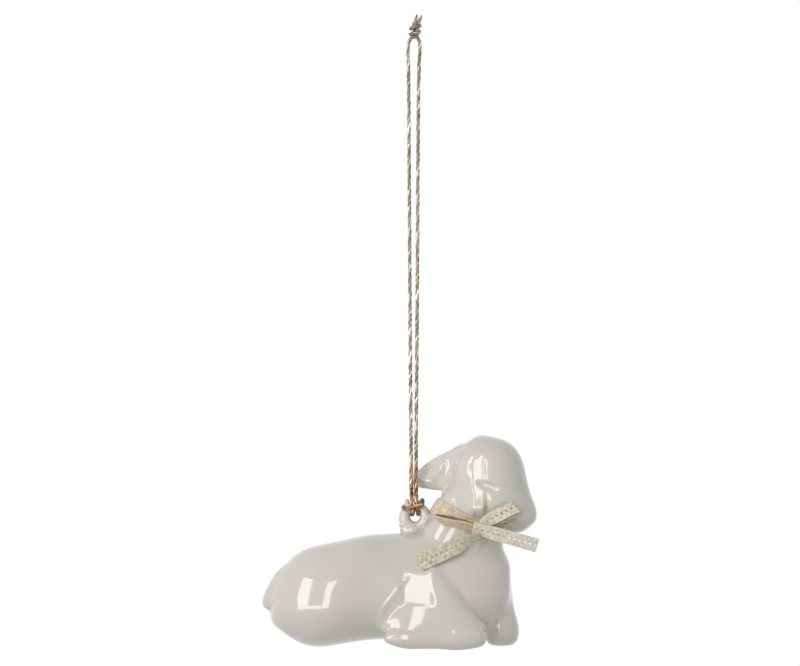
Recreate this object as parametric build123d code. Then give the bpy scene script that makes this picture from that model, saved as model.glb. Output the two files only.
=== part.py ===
from build123d import *
import os
from math import cos, radians, sin

# A hollow lying lamb of two pressed and enamelled half shells, hung by a metallic cord from a wire
# eye on its withers, with a narrow openwork ribbon tied in a bow round its neck.
# Millimetres. X runs from tail to nose, Y away from the viewer, Z up. The origin is the point
# inside the top of the cord loop where a hook or a twig carries it.

# Hanging cord
cord_drop = 116.5            # hanging point down to the bar of the eye
cord_diameter = 0.95
cord_top_spread = 2.5        # between the middles of the two strands, under the top bight
cord_foot_spread = 1.2       # and where they go into the hitch
top_bight_leg = 0.8          # straight end of the top bight, above each strand
top_knot_height = 3.8
top_knot_width = 3.0
cord_end_length = 1.6        # each cut end above the top knot
left_end_x = 0.15            # where it comes out of the knot
left_end_lean = 12.0         # degrees towards the nose
right_end_x = 1.0
right_end_lean = 24.0
strand_gap = 0.12            # between a strand and the top bight that it twists under
knot_turn_depth = 0.25       # the turn round the top knot stands proud of its core
knot_turn_tilt = 25.0

# Hitch of the cord round the bar of the eye
hitch_gap = 0.45             # between the turns and the wire that they roll on
hitch_ball_height = 2.6      # where the cord bends above the hitch, over the bar
hitch_ball_radius = 1.3
hitch_swing_gap = 0.25       # between that ball and the strands above it
hitch_collar_radius = 2.0
hitch_collar_tilt = 35.0     # the crossing part of the hitch lies low in front
hitch_collar_height = 2.0
hitch_collar_forward = 0.5

# Wire eye on the withers
eye_ring_radius = 2.6        # middle of the wire
eye_wire_diameter = 2.1
eye_sink = 0.35              # how far the ring beds into the back
eye_stem_diameter = 1.8
eye_stem_length = 2.6        # below the back
eye_leg_length = 3.4         # each bent leg inside the shell
eye_leg_diameter = 1.4
fit_gap = 0.05               # round the stem, where it passes through the back

# Lamb. Lengths along X are measured from the hang line, heights from its underside
rump_reach = 36.2
chest_reach = 23.9
withers_height = 29.8
body_width = 26.0
wall = 1.0                   # pressed sheet with its enamel
dock_height = 20.6           # root of the tail
dock_inset = 4.0             # in front of the end of the rump
tail_drop = 10.7
tail_back = 4.7              # its tip stands back of its root
tail_width = 5.4
tail_thickness = 4.6
neck_lean = 31.0             # degrees forward of upright
collar_x = 14.2              # middle of the neck under the ribbon
collar_height = 32.6
neck_length = 16.0           # between its two ends, inside the chest and the head
neck_depth = 19.2
neck_width = 15.6
head_x = 16.1                # upright axis about which the face turns to the viewer
head_yaw = 20.0
poll_height = 48.0           # start of the head's own axis, at its back
poll_set_back = 3.0          # behind the turning axis
face_pitch = 50.3            # degrees that the face points below level
crown_reach = 2.6            # of the crown behind that start, along the axis
head_length = 26.4
head_depth = 19.8
head_width = 17.4
foreleg_stand_out = 13.8     # folded near foreleg, from the middle plane
foreleg_root = 4.8           # its inner side, inside the barrel
foreleg_height = 21.6
foreleg_length = 26.0        # its foot, along X
foreleg_x = 4.8              # and the middle of that
foreleg_peak = 0.68          # its fullest part, as a share of its length from the back
forearm_stand_out = 14.6
forearm_height = 6.2
forearm_length = 26.0
forearm_x = 4.9              # its middle
leading_foot_x = 21.8        # foot of the far foreleg, in front of the chest
leading_foot_length = 8.8
leading_foot_width = 10.5
leading_foot_y = 1.0
leading_foot_lift = 0.7      # off the ground that the near foreleg lies on
leading_leg_height = 17.3
leading_leg_lean = 2.6       # its top stands back of its foot
ear_length = 18.4            # with the root that goes into the head
ear_width = 8.8
ear_thickness = 2.4
ear_root_back = 0.2          # from the turning axis, along the head
ear_root_side = 5.2          # from the middle of the head
ear_root_drop = 1.9          # below the poll
ear_toe_in = 13.7            # degrees that the tips draw together
ear_droop = 13.2

# Ribbon
ribbon_width = 4.0
ribbon_thickness = 0.45
bow_knot_length = 4.4
bow_knot_height = 4.4
bow_knot_thickness = 2.2
bow_x = 16.0
bow_height = 31.2
loop_depth = 2.4             # between the two layers of a bow loop, outside
band_ease = 0.4              # the neck band stands off the middle of the neck
band_lean = 18.0             # degrees that its axis leans forward of upright
tail_bow = 0.5               # a ribbon tail curves away from the viewer at its ends
# Each free part of the bow: reach, degrees above level towards the nose, and degrees out to the viewer
front_loop_reach = 11.8
front_loop_angle = 23.0
front_loop_lean = 9.0
rear_loop_reach = 11.8
rear_loop_angle = 172.0
rear_loop_lean = -2.0
front_tail_reach = 15.6
front_tail_angle = -20.0
front_tail_lean = -1.0
rear_tail_reach = 17.6
rear_tail_angle = 215.5
rear_tail_lean = 8.0

handle = 0.5523              # arm of a quarter oval's curve, as a share of its radius

cord_radius = cord_diameter / 2
wire_radius = eye_wire_diameter / 2
turn_radius = wire_radius + hitch_gap + cord_radius
ring_height = withers_height - eye_sink + wire_radius + eye_ring_radius
bar_height = ring_height + eye_ring_radius
lamb_place = Location((0, 0, -cord_drop - bar_height))
bar_place = Location((0, 0, -cord_drop))
strand_foot_z = -cord_drop + hitch_ball_height + hitch_ball_radius + hitch_swing_gap
bight_radius = cord_top_spread / 2
bight_z = cord_radius - bight_radius
bow_y = -neck_width / 2 - band_ease - ribbon_thickness - bow_knot_thickness / 2


def oval(plane, right, left, up, down):
    """A closed section of four quarter arcs round the plane's origin, with its own reach each way."""
    north, east = Vector(0, up), Vector(right, 0)
    south, west = Vector(0, -down), Vector(-left, 0)
    edges = []
    for start, end in [(north, east), (east, south), (south, west), (west, north)]:
        edges.append(Bezier(start, start + end * handle, end + start * handle, end))
    return plane * make_face(edges)


def form(sections):
    return loft([oval(*section) for section in sections])


def tube(start, end, radius):
    run = Vector(end) - Vector(start)
    from_foot = (Align.CENTER, Align.CENTER, Align.MIN)
    return Plane(origin=start, z_dir=run) * Cylinder(radius, run.length, align=from_foot)


def torso(inset):
    """Barrel of the body. Stations: share of the reach, then of the withers' height the underside, the
    widest level and the back, then of the width."""
    stations = [
        (-1.000, 0.268, 0.352, 0.419, 0.17),
        (-0.967, 0.188, 0.352, 0.570, 0.43),
        (-0.898, 0.121, 0.369, 0.711, 0.66),
        (-0.787, 0.044, 0.369, 0.826, 0.86),
        (-0.635, 0.017, 0.369, 0.883, 1.00),
        (-0.442, 0.054, 0.419, 0.930, 1.00),
        (-0.221, 0.081, 0.436, 0.966, 0.92),
        (0.000, 0.074, 0.453, 1.000, 0.90),
        (0.335, 0.074, 0.470, 1.040, 0.89),
        (0.628, 0.087, 0.487, 1.007, 0.82),
        (0.837, 0.148, 0.520, 0.923, 0.66),
        (0.946, 0.252, 0.554, 0.822, 0.49),
        (1.000, 0.403, 0.570, 0.721, 0.27),
    ]
    sections = []
    for share, low, middle, high, width in stations:
        reach = (rump_reach if share < 0 else chest_reach) - inset
        level = middle * withers_height
        plane = Plane(origin=(share * reach, 0, level), x_dir=(0, 1, 0), z_dir=(1, 0, 0))
        side = width * body_width / 2 - inset
        up, down = high * withers_height - level - inset, level - low * withers_height - inset
        sections.append((plane, side, side, up, down))
    return form(sections)


def tail():
    """Short tail that lies down over the rump."""
    shape = [(0.0, 0.0, 0.5), (0.15, 0.19, 0.8), (0.5, 0.55, 1.0), (0.85, 0.89, 0.92), (1.0, 1.0, 0.55)]
    down = (-tail_back / tail_drop, 0, -1)
    sections = []
    for share, back, width in shape:
        origin = (dock_inset - rump_reach - back * tail_back, 0, dock_height - share * tail_drop)
        plane = Plane(origin=origin, x_dir=(0, 1, 0), z_dir=down)
        half, deep = width * tail_width / 2, width * tail_thickness / 2
        sections.append((plane, half, half, deep, deep))
    return form(sections)


def neck(inset):
    """Neck, from inside the chest to inside the head, square to its own axis."""
    lean = radians(neck_lean)
    sections = []
    shape = [(-0.625, 1.05, 1.10), (-0.28, 1.02, 1.06), (0.0, 1.0, 1.0), (0.375, 0.98, 0.98)]
    for share, depth, width in shape:
        along = share * (neck_length - 2 * inset)
        origin = (collar_x + along * sin(lean), 0, collar_height + along * cos(lean))
        plane = Plane(origin=origin, x_dir=(0, 1, 0), z_dir=(sin(lean), 0, cos(lean)))
        side, deep = width * neck_width / 2 - inset, depth * neck_depth / 2 - inset
        sections.append((plane, side, side, deep, deep))
    return form(sections)


def head(inset):
    """Skull and muzzle about the face's own axis. Stations: share of the length, jaw, brow, width."""
    stations = [
        (0.000, -0.08, 0.24, 0.28),
        (0.045, 0.12, 0.35, 0.57),
        (0.155, 0.33, 0.47, 0.87),
        (0.300, 0.45, 0.55, 1.00),
        (0.470, 0.48, 0.515, 1.00),
        (0.640, 0.44, 0.405, 0.87),
        (0.775, 0.36, 0.33, 0.71),
        (0.890, 0.23, 0.285, 0.56),
        (0.970, 0.11, 0.22, 0.39),
        (1.000, 0.02, 0.15, 0.21),
    ]
    pitch = radians(face_pitch)
    along, brow_way = Vector(cos(pitch), 0, -sin(pitch)), Vector(sin(pitch), 0, cos(pitch))
    start = Vector(-poll_set_back, 0, poll_height) - along * crown_reach
    sections = []
    for share, jaw, brow, width in stations:
        origin = start + along * (inset + share * (head_length - 2 * inset))
        origin = origin + brow_way * ((brow - jaw) / 2 * head_depth)
        half = (brow + jaw) / 2 * head_depth - inset
        plane = Plane(origin=origin, x_dir=(0, 1, 0), z_dir=along)
        side = width * head_width / 2 - inset
        sections.append((plane, side, side, half, half))
    return Location((head_x, 0, 0)) * (Rot(0, 0, -head_yaw) * form(sections))


def ear(side):
    """One ear, swept back from the side of the head. side is -1 for the near ear and 1 for the far one."""
    toe, droop = radians(ear_toe_in), radians(ear_droop)
    along = Vector(-cos(toe) * cos(droop), -side * sin(toe) * cos(droop), -sin(droop))
    root = Vector(-ear_root_back, side * ear_root_side, poll_height - ear_root_drop)
    across = along.cross(Vector(0, 0, 1))
    shape = [(0.0, 1.30, 1.0), (0.2, 1.25, 1.0), (0.4, 1.13, 0.95), (0.6, 0.97, 0.85), (0.8, 0.74, 0.72),
             (0.93, 0.52, 0.55), (1.0, 0.24, 0.3)]
    sections = []
    for share, width, thick in shape:
        plane = Plane(origin=root + along * (share * ear_length), x_dir=across, z_dir=along)
        half, deep = width * ear_width / 2, thick * ear_thickness / 2
        sections.append((plane, deep, deep, half, half))
    return Location((head_x, 0, 0)) * (Rot(0, 0, -head_yaw) * form(sections))


def upright_form(stations, peak, inset):
    """A form stacked upwards, fullest at a share of its length. Stations: height, back, front, sides."""
    sections = []
    for height, back, front, near, far in stations:
        x = back + peak * (front - back)
        plane = Plane(origin=(x, (near + far) / 2, height))
        half_y = (far - near) / 2 - inset
        sections.append((plane, front - x - inset, x - back - inset, half_y, half_y))
    return form(sections)


def upper_foreleg(side, inset):
    """Shoulder and upper foreleg, a teardrop that swells out of the barrel."""
    shape = [
        (0.02, -0.60, 0.71, 0.93),
        (0.12, -0.94, 0.955, 1.00),
        (0.26, -1.00, 1.00, 1.00),
        (0.42, -0.92, 0.86, 0.985),
        (0.60, -0.75, 0.63, 0.955),
        (0.78, -0.54, 0.37, 0.91),
        (0.93, -0.34, 0.14, 0.86),
        (1.00, -0.22, 0.02, 0.81),
    ]
    half = foreleg_length / 2
    stations = []
    for share, back, front, reach in shape:
        height = inset + share * (foreleg_height - 2 * inset)
        near, far = sorted((side * reach * foreleg_stand_out, side * foreleg_root))
        stations.append((height, foreleg_x + back * half, foreleg_x + front * half, near, far))
    return upright_form(stations, foreleg_peak, inset)


def forearm(inset):
    """Lower part of the folded near foreleg, lying along the ground."""
    shape = [(0.0, 0.30), (0.03, 0.46), (0.1, 0.68), (0.2, 0.91), (0.32, 0.98), (0.6, 1.0), (0.85, 0.96),
             (0.95, 0.78), (1.0, 0.42)]
    sections = []
    for share, size in shape:
        x = forearm_x + (share - 0.5) * (forearm_length - 2 * inset)
        plane = Plane(origin=(x, -forearm_stand_out + forearm_height / 2, forearm_height / 2),
                      x_dir=(0, 1, 0), z_dir=(1, 0, 0))
        half = size * forearm_height / 2 - inset * min(1, size)
        sections.append((plane, half, half, half, half))
    return form(sections)


def leading_foreleg(inset):
    """Far foreleg: it comes straight down out of the chest to a rounded foot."""
    shape = [
        (0.00, 0.00, 0.55),
        (0.11, 0.00, 0.94),
        (0.27, 0.00, 1.00),
        (0.44, 0.27, 1.00),
        (0.65, 0.62, 1.00),
        (1.00, 1.00, 1.00),
    ]
    half, wide = leading_foot_length / 2, leading_foot_width / 2
    stations = []
    for share, lean, size in shape:
        x = leading_foot_x - lean * leading_leg_lean
        height = leading_foot_lift + inset + share * (leading_leg_height - inset)
        near, far = leading_foot_y - size * wide, leading_foot_y + size * wide
        stations.append((height, x - size * half, x + size * half, near, far))
    return upright_form(stations, 0.5, inset)


def lamb_forms(inset):
    return [torso(inset), neck(inset), head(inset), upper_foreleg(-1, inset), upper_foreleg(1, inset),
            forearm(inset), leading_foreleg(inset)]


def fuse_all(shapes):
    whole = shapes[0]
    for shape in shapes[1:]:
        whole = whole + shape
    return whole


def cut_clear(shape, others):
    """The main solid of a shape once what stands in its place is taken out of it."""
    for other in others:
        shape = shape - other
    return max(shape.solids(), key=lambda solid: solid.volume)


def hanger_eye():
    """Ring of coated wire that stands on the withers, with its stem and two bent legs inside the shell."""
    ring = Location((0, 0, ring_height)) * (Rot(90, 0, 0) * Torus(eye_ring_radius, wire_radius))
    foot_height = withers_height - eye_stem_length
    stem = tube((0, 0, foot_height), (0, 0, ring_height - eye_ring_radius), eye_stem_diameter / 2)
    legs = tube((-eye_leg_length, 0, foot_height), (eye_leg_length, 0, foot_height), eye_leg_diameter / 2)
    return ring + stem + legs


def neck_band():
    """Ribbon round the neck, standing off it by the gap."""
    lean = radians(band_lean)
    place = Plane(origin=(collar_x, 0, collar_height), x_dir=(0, 1, 0), z_dir=(sin(lean), 0, cos(lean)))
    slant = cos(radians(neck_lean - band_lean))
    side, deep = neck_width / 2 + band_ease, neck_depth / 2 / slant + band_ease
    inside = oval(place, side, side, deep, deep)
    side, deep = side + ribbon_thickness, deep + ribbon_thickness
    outside = oval(place, side, side, deep, deep)
    return extrude(outside - inside, amount=ribbon_width / 2, both=True)


def bow_knot():
    sections = []
    for share, size in [(-1.0, 0.7), (-0.6, 0.95), (0.0, 1.0), (0.6, 0.95), (1.0, 0.7)]:
        origin = (bow_x + share * bow_knot_length / 2, bow_y, bow_height)
        plane = Plane(origin=origin, x_dir=(0, 1, 0), z_dir=(1, 0, 0))
        deep, tall = size * bow_knot_thickness / 2, size * bow_knot_height / 2
        sections.append((plane, deep, deep, tall, tall))
    return form(sections)


def bow_plane(direction, lean, out):
    """Plane of a loop's or a tail's edge: x runs out from the knot, y away from the viewer."""
    turn, tip = radians(direction), radians(lean)
    along = Vector(cos(turn) * cos(tip), -sin(tip), sin(turn) * cos(tip))
    origin = Vector(bow_x, bow_y, bow_height) + along * out
    return Plane(origin=origin, x_dir=along, z_dir=along.cross(Vector(0, 1, 0)))


def bow_loop(reach, direction, lean):
    plane = bow_plane(direction, lean, reach / 2)
    half, deep = reach / 2, loop_depth / 2
    inner_half, inner_deep = half - ribbon_thickness, deep - ribbon_thickness
    ring = oval(plane, half, half, deep, deep) - oval(plane, inner_half, inner_half, inner_deep, inner_deep)
    return extrude(ring, amount=ribbon_width / 2, both=True)


def bow_tail(reach, direction, lean):
    plane = bow_plane(direction, lean, 0)
    strip = trace(ThreePointArc((0, 0), (reach / 2, -tail_bow), (reach, 0)), ribbon_thickness)
    return extrude(plane * strip, amount=ribbon_width / 2, both=True)


def cord_top_bight():
    """Top of the loop, where it hangs, with a short straight end over each strand."""
    section = Location((bight_radius, 0, bight_z)) * Circle(cord_radius)
    arch = revolve(section, Axis((0, 0, bight_z), (0, -1, 0)), 180)
    low = bight_z - top_bight_leg
    for side in (-1, 1):
        arch = arch + tube((side * bight_radius, 0, low), (side * bight_radius, 0, bight_z), cord_radius)
    return arch


def cord_strand(side):
    top = (side * cord_top_spread / 2, 0, bight_z - top_bight_leg - strand_gap)
    return tube((side * cord_foot_spread / 2, 0, strand_foot_z), top, cord_radius)


def cord_hitch():
    """Two turns over the bar of the eye, the part that crosses in front of them, and the ball where
    the cord goes in."""
    hitch = Location((0, 0, hitch_ball_height)) * Sphere(hitch_ball_radius)
    for side in (-1, 1):
        turn = Rot(0, 90, 0) * Torus(turn_radius, cord_radius)
        hitch = hitch + Location((side * cord_foot_spread / 2, 0, 0)) * turn
    collar = Rot(hitch_collar_tilt, 0, 45) * Torus(hitch_collar_radius, cord_radius)
    hitch = hitch + Location((0, -hitch_collar_forward, hitch_collar_height)) * collar
    return bar_place * hitch


def cord_top_knot():
    """Overhand knot over the top bight: a core with a slanting turn round it."""
    half, low = top_knot_width / 2, bight_z + bight_radius + cord_radius
    sections = []
    for share, size in [(0.0, 0.55), (0.12, 0.85), (0.5, 1.0), (0.88, 0.85), (1.0, 0.55)]:
        reach = size * (half - knot_turn_depth)
        sections.append((Plane(origin=(0, 0, low + share * top_knot_height)), reach, reach, reach, reach))
    turn_place = Location((0, 0, low + top_knot_height / 2)) * Rot(0, knot_turn_tilt, 0)
    return form(sections) + turn_place * Torus(half - cord_radius, cord_radius)


def cord_end(x, lean):
    """One cut end of the cord, which starts inside the top of the knot."""
    top_z = bight_z + bight_radius + cord_radius + top_knot_height
    way = Vector(sin(radians(lean)), 0, cos(radians(lean)))
    exit_point = Vector(x, 0, top_z)
    return tube(exit_point - way * cord_diameter, exit_point + way * cord_end_length, cord_radius)


def lamb():
    outer = fuse_all(lamb_forms(0) + [tail()])
    eye = hanger_eye()
    hole_foot = withers_height - eye_stem_length
    stem_hole = tube((0, 0, hole_foot), (0, 0, ring_height), eye_stem_diameter / 2 + fit_gap)
    seat = Location((0, 0, ring_height)) * Sphere(eye_ring_radius + wire_radius + wall)
    hollow = fuse_all(lamb_forms(wall)) - seat      # the wall stays whole where the ring beds into it
    shell = outer - hollow - stem_hole - eye
    parts = {
        "near_half_shell": split(shell, bisect_by=Plane.XZ, keep=Keep.TOP),
        "far_half_shell": split(shell, bisect_by=Plane.XZ, keep=Keep.BOTTOM),
        "near_ear": cut_clear(ear(-1), [outer]),
        "far_ear": cut_clear(ear(1), [outer]),
        "hanger_eye": eye,
    }
    ribbon = {
        "ribbon_knot": bow_knot(),
        "ribbon_neck_band": neck_band(),
        "ribbon_front_loop": bow_loop(front_loop_reach, front_loop_angle, front_loop_lean),
        "ribbon_rear_loop": bow_loop(rear_loop_reach, rear_loop_angle, rear_loop_lean),
        "ribbon_front_tail": bow_tail(front_tail_reach, front_tail_angle, front_tail_lean),
        "ribbon_rear_tail": bow_tail(rear_tail_reach, rear_tail_angle, rear_tail_lean),
    }
    placed = [outer, parts["near_ear"], parts["far_ear"]]
    for name, piece in ribbon.items():
        parts[name] = cut_clear(piece, placed)
        placed.append(parts[name])
    return {name: lamb_place * piece for name, piece in parts.items()}


def cord():
    bight = cord_top_bight()
    knot = cut_clear(cord_top_knot(), [bight])
    left_end = cut_clear(cord_end(left_end_x, left_end_lean), [knot])
    return {
        "cord_top_bight": bight,
        "cord_top_knot": knot,
        "cord_left_end": left_end,
        "cord_right_end": cut_clear(cord_end(right_end_x, right_end_lean), [knot, left_end]),
        "cord_left_strand": cord_strand(-1),
        "cord_right_strand": cord_strand(1),
        "cord_hitch": cord_hitch(),
    }


os.makedirs("parts", exist_ok=True)
for name, piece in (lamb() | cord()).items():
    export_step(piece, f"parts/{name}.step")
    print(name, len(piece.solids()), round(piece.volume, 2))
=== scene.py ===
import math

import bpy
import numpy as np
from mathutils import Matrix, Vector, noise
from mathutils.bvhtree import BVHTree


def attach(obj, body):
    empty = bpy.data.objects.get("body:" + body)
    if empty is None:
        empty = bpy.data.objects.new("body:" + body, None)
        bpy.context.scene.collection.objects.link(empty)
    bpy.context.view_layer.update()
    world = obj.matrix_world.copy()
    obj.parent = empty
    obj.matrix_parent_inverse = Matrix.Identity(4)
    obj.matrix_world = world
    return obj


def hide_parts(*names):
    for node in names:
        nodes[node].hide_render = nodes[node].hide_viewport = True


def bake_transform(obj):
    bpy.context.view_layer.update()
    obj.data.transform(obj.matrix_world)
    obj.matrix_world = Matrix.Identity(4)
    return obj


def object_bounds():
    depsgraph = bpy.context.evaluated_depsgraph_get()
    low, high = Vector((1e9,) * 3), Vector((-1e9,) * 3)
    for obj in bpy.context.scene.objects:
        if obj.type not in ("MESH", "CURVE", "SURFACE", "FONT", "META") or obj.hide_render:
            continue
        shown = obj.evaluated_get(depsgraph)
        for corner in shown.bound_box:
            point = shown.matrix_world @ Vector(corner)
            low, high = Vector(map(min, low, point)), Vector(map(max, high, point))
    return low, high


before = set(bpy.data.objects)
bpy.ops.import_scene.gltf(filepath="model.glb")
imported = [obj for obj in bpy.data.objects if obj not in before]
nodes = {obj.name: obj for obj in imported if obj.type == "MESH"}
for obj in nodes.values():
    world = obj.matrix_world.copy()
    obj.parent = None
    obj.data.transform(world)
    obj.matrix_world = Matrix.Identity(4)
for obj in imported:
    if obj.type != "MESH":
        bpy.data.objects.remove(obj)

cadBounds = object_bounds()
scene = bpy.context.scene
scene.view_settings.view_transform = "Standard"
mm = 0.001
groundZ = -152.2  # the lamb's heights count from here, in millimetres
print("frame loaded:", len(nodes), "nodes")


# small tools that every piece uses

def addPiece(name, points, faces, materials=(), faceMaterial=None):
    mesh = bpy.data.meshes.new(name)
    mesh.from_pydata([tuple(p) for p in points], [], [tuple(f) for f in faces])
    mesh.polygons.foreach_set("use_smooth", [True] * len(mesh.polygons))
    for material in materials:
        mesh.materials.append(material)
    if faceMaterial is not None:
        mesh.polygons.foreach_set("material_index", faceMaterial)
    mesh.update()
    piece = bpy.data.objects.new(name, mesh)
    scene.collection.objects.link(piece)
    return piece


def applyModifiers(piece):
    graph = bpy.context.evaluated_depsgraph_get()
    mesh = bpy.data.meshes.new_from_object(piece.evaluated_get(graph))
    old = piece.data
    piece.modifiers.clear()
    piece.data = mesh
    bpy.data.meshes.remove(old)


def meshPoints(mesh):
    flat = np.empty(len(mesh.vertices) * 3)
    mesh.vertices.foreach_get("co", flat)
    return flat.reshape(-1, 3)


def nodeSurface(name):  # a CAD node's points in millimetres, and its triangles
    mesh = nodes[name].data
    mesh.calc_loop_triangles()
    faces = np.empty(len(mesh.loop_triangles) * 3, dtype=int)
    mesh.loop_triangles.foreach_get("vertices", faces)
    turn = np.array(nodes[name].matrix_world)
    points = meshPoints(mesh) @ turn[:3, :3].T + turn[:3, 3]
    return points / mm, faces.reshape(-1, 3)


def unit(v):
    return v / np.linalg.norm(v, axis=-1, keepdims=True)


def runOf(line):  # how far along the line each of its points is
    return np.concatenate([[0], np.cumsum(np.linalg.norm(np.diff(line, axis=0), axis=1))])


def evenly(points, step):  # the same line, with points a step apart
    run = runOf(points)
    count = max(2, int(round(run[-1] / step)) + 1)
    where = np.linspace(0, run[-1], count)
    return np.stack([np.interp(where, run, points[:, k]) for k in range(3)], axis=1)


def bump(x, middle, width):
    return np.exp(-((x - middle) / width) ** 2)


def soften(x, low, high):
    t = np.clip((x - low) / (high - low), 0, 1)
    return t * t * (3 - 2 * t)


# camera, at the height of the middle of the picture

shot = {"lens": 500.0, "sensor": 36.0, "width": 0.200, "middle": (-0.00375, 0.0, -0.07325)}

cameraData = bpy.data.cameras.new("camera")
cameraData.lens = shot["lens"]
cameraData.sensor_width = shot["sensor"]
cameraData.clip_start = 0.01
camera = bpy.data.objects.new("camera", cameraData)
away = shot["width"] * shot["lens"] / shot["sensor"]
camera.location = Vector(shot["middle"]) + Vector((0, -away, 0))
camera.rotation_euler = (math.radians(90), 0, 0)
scene.collection.objects.link(camera)
scene.camera = camera
print("camera", round(away, 3), "m away")


# materials

def startMaterial(name):
    material = bpy.data.materials.new(name)
    material.use_nodes = True
    tree = material.node_tree
    return material, tree, tree.nodes["Principled BSDF"]


def addNoise(tree, where, scale, detail=2.0, roughness=0.5):
    node = tree.nodes.new("ShaderNodeTexNoise")
    node.inputs["Scale"].default_value = scale
    node.inputs["Detail"].default_value = detail
    node.inputs["Roughness"].default_value = roughness
    tree.links.new(where, node.inputs["Vector"])
    return node.outputs["Fac"]


def addRamp(tree, value, stops):
    node = tree.nodes.new("ShaderNodeValToRGB")
    ramp = node.color_ramp
    while len(ramp.elements) < len(stops):
        ramp.elements.new(0.5)
    for element, (place, colour) in zip(ramp.elements, stops):
        element.position = place
        element.color = (*colour, 1)
    tree.links.new(value, node.inputs["Fac"])
    return node.outputs["Color"]


def addMath(tree, operation, a, b=None):
    node = tree.nodes.new("ShaderNodeMath")
    node.operation = operation
    for socket, value in zip(node.inputs, (a, b)):
        if value is None:
            continue
        if isinstance(value, (int, float)):
            socket.default_value = value
        else:
            tree.links.new(value, socket)
    return node.outputs[0]


def addBump(tree, shader, height, depth, strength=1.0):
    node = tree.nodes.new("ShaderNodeBump")
    node.inputs["Strength"].default_value = strength
    node.inputs["Distance"].default_value = depth
    tree.links.new(height, node.inputs["Height"])
    tree.links.new(node.outputs["Normal"], shader.inputs["Normal"])


def seenStraight(tree):  # 1 for what the camera sees, also in gloss and through glass
    path = tree.nodes.new("ShaderNodeLightPath")
    seen = addMath(tree, "MAXIMUM", path.outputs["Is Camera Ray"], path.outputs["Is Glossy Ray"])
    return addMath(tree, "MAXIMUM", seen, path.outputs["Is Transmission Ray"])


enamelLook = {
    "rose": (0.615, 0.555, 0.515),
    "ivory": (0.605, 0.575, 0.500),
    "sage": (0.570, 0.560, 0.475),
    "mottle": 46.0,         # cloudiness of the dip, per metre
    "gloss": 0.12,
    "coat": 1.0,
    "coatGloss": 0.03,
    "ripple": 160.0,
    "rippleDepth": 0.00010,
}


def makeEnamel():
    material, tree, shader = startMaterial("ivoryEnamel")
    place = tree.nodes.new("ShaderNodeTexCoord").outputs["Object"]
    cloud = addNoise(tree, place, enamelLook["mottle"], 3.0)
    stops = [(0.38, enamelLook["sage"]), (0.50, enamelLook["ivory"]), (0.62, enamelLook["rose"])]
    tree.links.new(addRamp(tree, cloud, stops), shader.inputs["Base Color"])
    shader.inputs["Roughness"].default_value = enamelLook["gloss"]
    shader.inputs["IOR"].default_value = 1.5
    shader.inputs["Coat Weight"].default_value = enamelLook["coat"]
    shader.inputs["Coat Roughness"].default_value = enamelLook["coatGloss"]
    ripple = addNoise(tree, place, enamelLook["ripple"], 1.0)
    addBump(tree, shader, ripple, enamelLook["rippleDepth"])
    return material


# dark and light of each yarn, at the top of the cord and at the hitch
metalLook = {
    "pewter": [(0.17, 0.135, 0.11), (0.31, 0.26, 0.22), (0.15, 0.085, 0.045), (0.34, 0.20, 0.105)],
    "bronze": [(0.22, 0.17, 0.135), (0.40, 0.33, 0.275), (0.21, 0.115, 0.06), (0.42, 0.26, 0.135)],
    "champagne": [(0.28, 0.225, 0.18), (0.80, 0.74, 0.65), (0.27, 0.165, 0.09), (0.70, 0.53, 0.35)],
    "fleck": 430.0,                # changes of tone along the yarn, per metre
    "turn": (-0.117, -0.090),      # heights between which copper gives way to pewter
    "gloss": (0.26, 0.46),
    "fibre": (2600.0, 0.00008),    # fineness per metre, and depth
}


def makeYarn(tone):
    material, tree, shader = startMaterial(tone + "Yarn")
    place = tree.nodes.new("ShaderNodeTexCoord").outputs["Object"]
    fleck = addNoise(tree, place, metalLook["fleck"], 2.0, 0.6)
    dark, light, lowDark, lowLight = metalLook[tone]
    high = addRamp(tree, fleck, [(0.40, dark), (0.66, light)])
    low = addRamp(tree, fleck, [(0.36, lowDark), (0.64, lowLight)])
    split = tree.nodes.new("ShaderNodeSeparateXYZ")
    tree.links.new(place, split.inputs[0])
    rise = tree.nodes.new("ShaderNodeMapRange")
    rise.interpolation_type = "SMOOTHSTEP"
    rise.inputs["From Min"].default_value, rise.inputs["From Max"].default_value = metalLook["turn"]
    tree.links.new(split.outputs["Z"], rise.inputs["Value"])
    mix = tree.nodes.new("ShaderNodeMix")
    mix.data_type = "RGBA"
    tree.links.new(rise.outputs["Result"], mix.inputs[0])
    tree.links.new(low, mix.inputs[6])
    tree.links.new(high, mix.inputs[7])
    tree.links.new(mix.outputs[2], shader.inputs["Base Color"])
    shader.inputs["Metallic"].default_value = 1.0
    smooth, rough = metalLook["gloss"]
    gloss = addMath(tree, "MULTIPLY_ADD", fleck, rough - smooth)
    gloss.node.inputs[2].default_value = smooth
    tree.links.new(gloss, shader.inputs["Roughness"])
    fineness, depth = metalLook["fibre"]
    addBump(tree, shader, addNoise(tree, place, fineness, 2.0), depth)
    return material


# dark, plain and pale thread of the ribbon, and where it is warmer round the neck; the third, paler set is
# painted light shining through the hanging front tail
ribbonLook = {
    "ribbonCloth": [(0.47, 0.40, 0.26), (0.66, 0.60, 0.45), (0.82, 0.78, 0.66)],
    "ribbonWarm": [(0.52, 0.38, 0.21), (0.74, 0.61, 0.43), (0.88, 0.79, 0.63)],
    # a paler copy of the cloth for the front tail: painted light, as if it were lit through from behind
    "ribbonPaintedBacklight": [(0.64, 0.56, 0.44), (0.76, 0.70, 0.59), (0.86, 0.82, 0.74)],
    "thread": 0.36,          # millimetres between threads
    "slub": (900.0, 0.00016),    # fineness per metre, and depth
}


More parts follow.
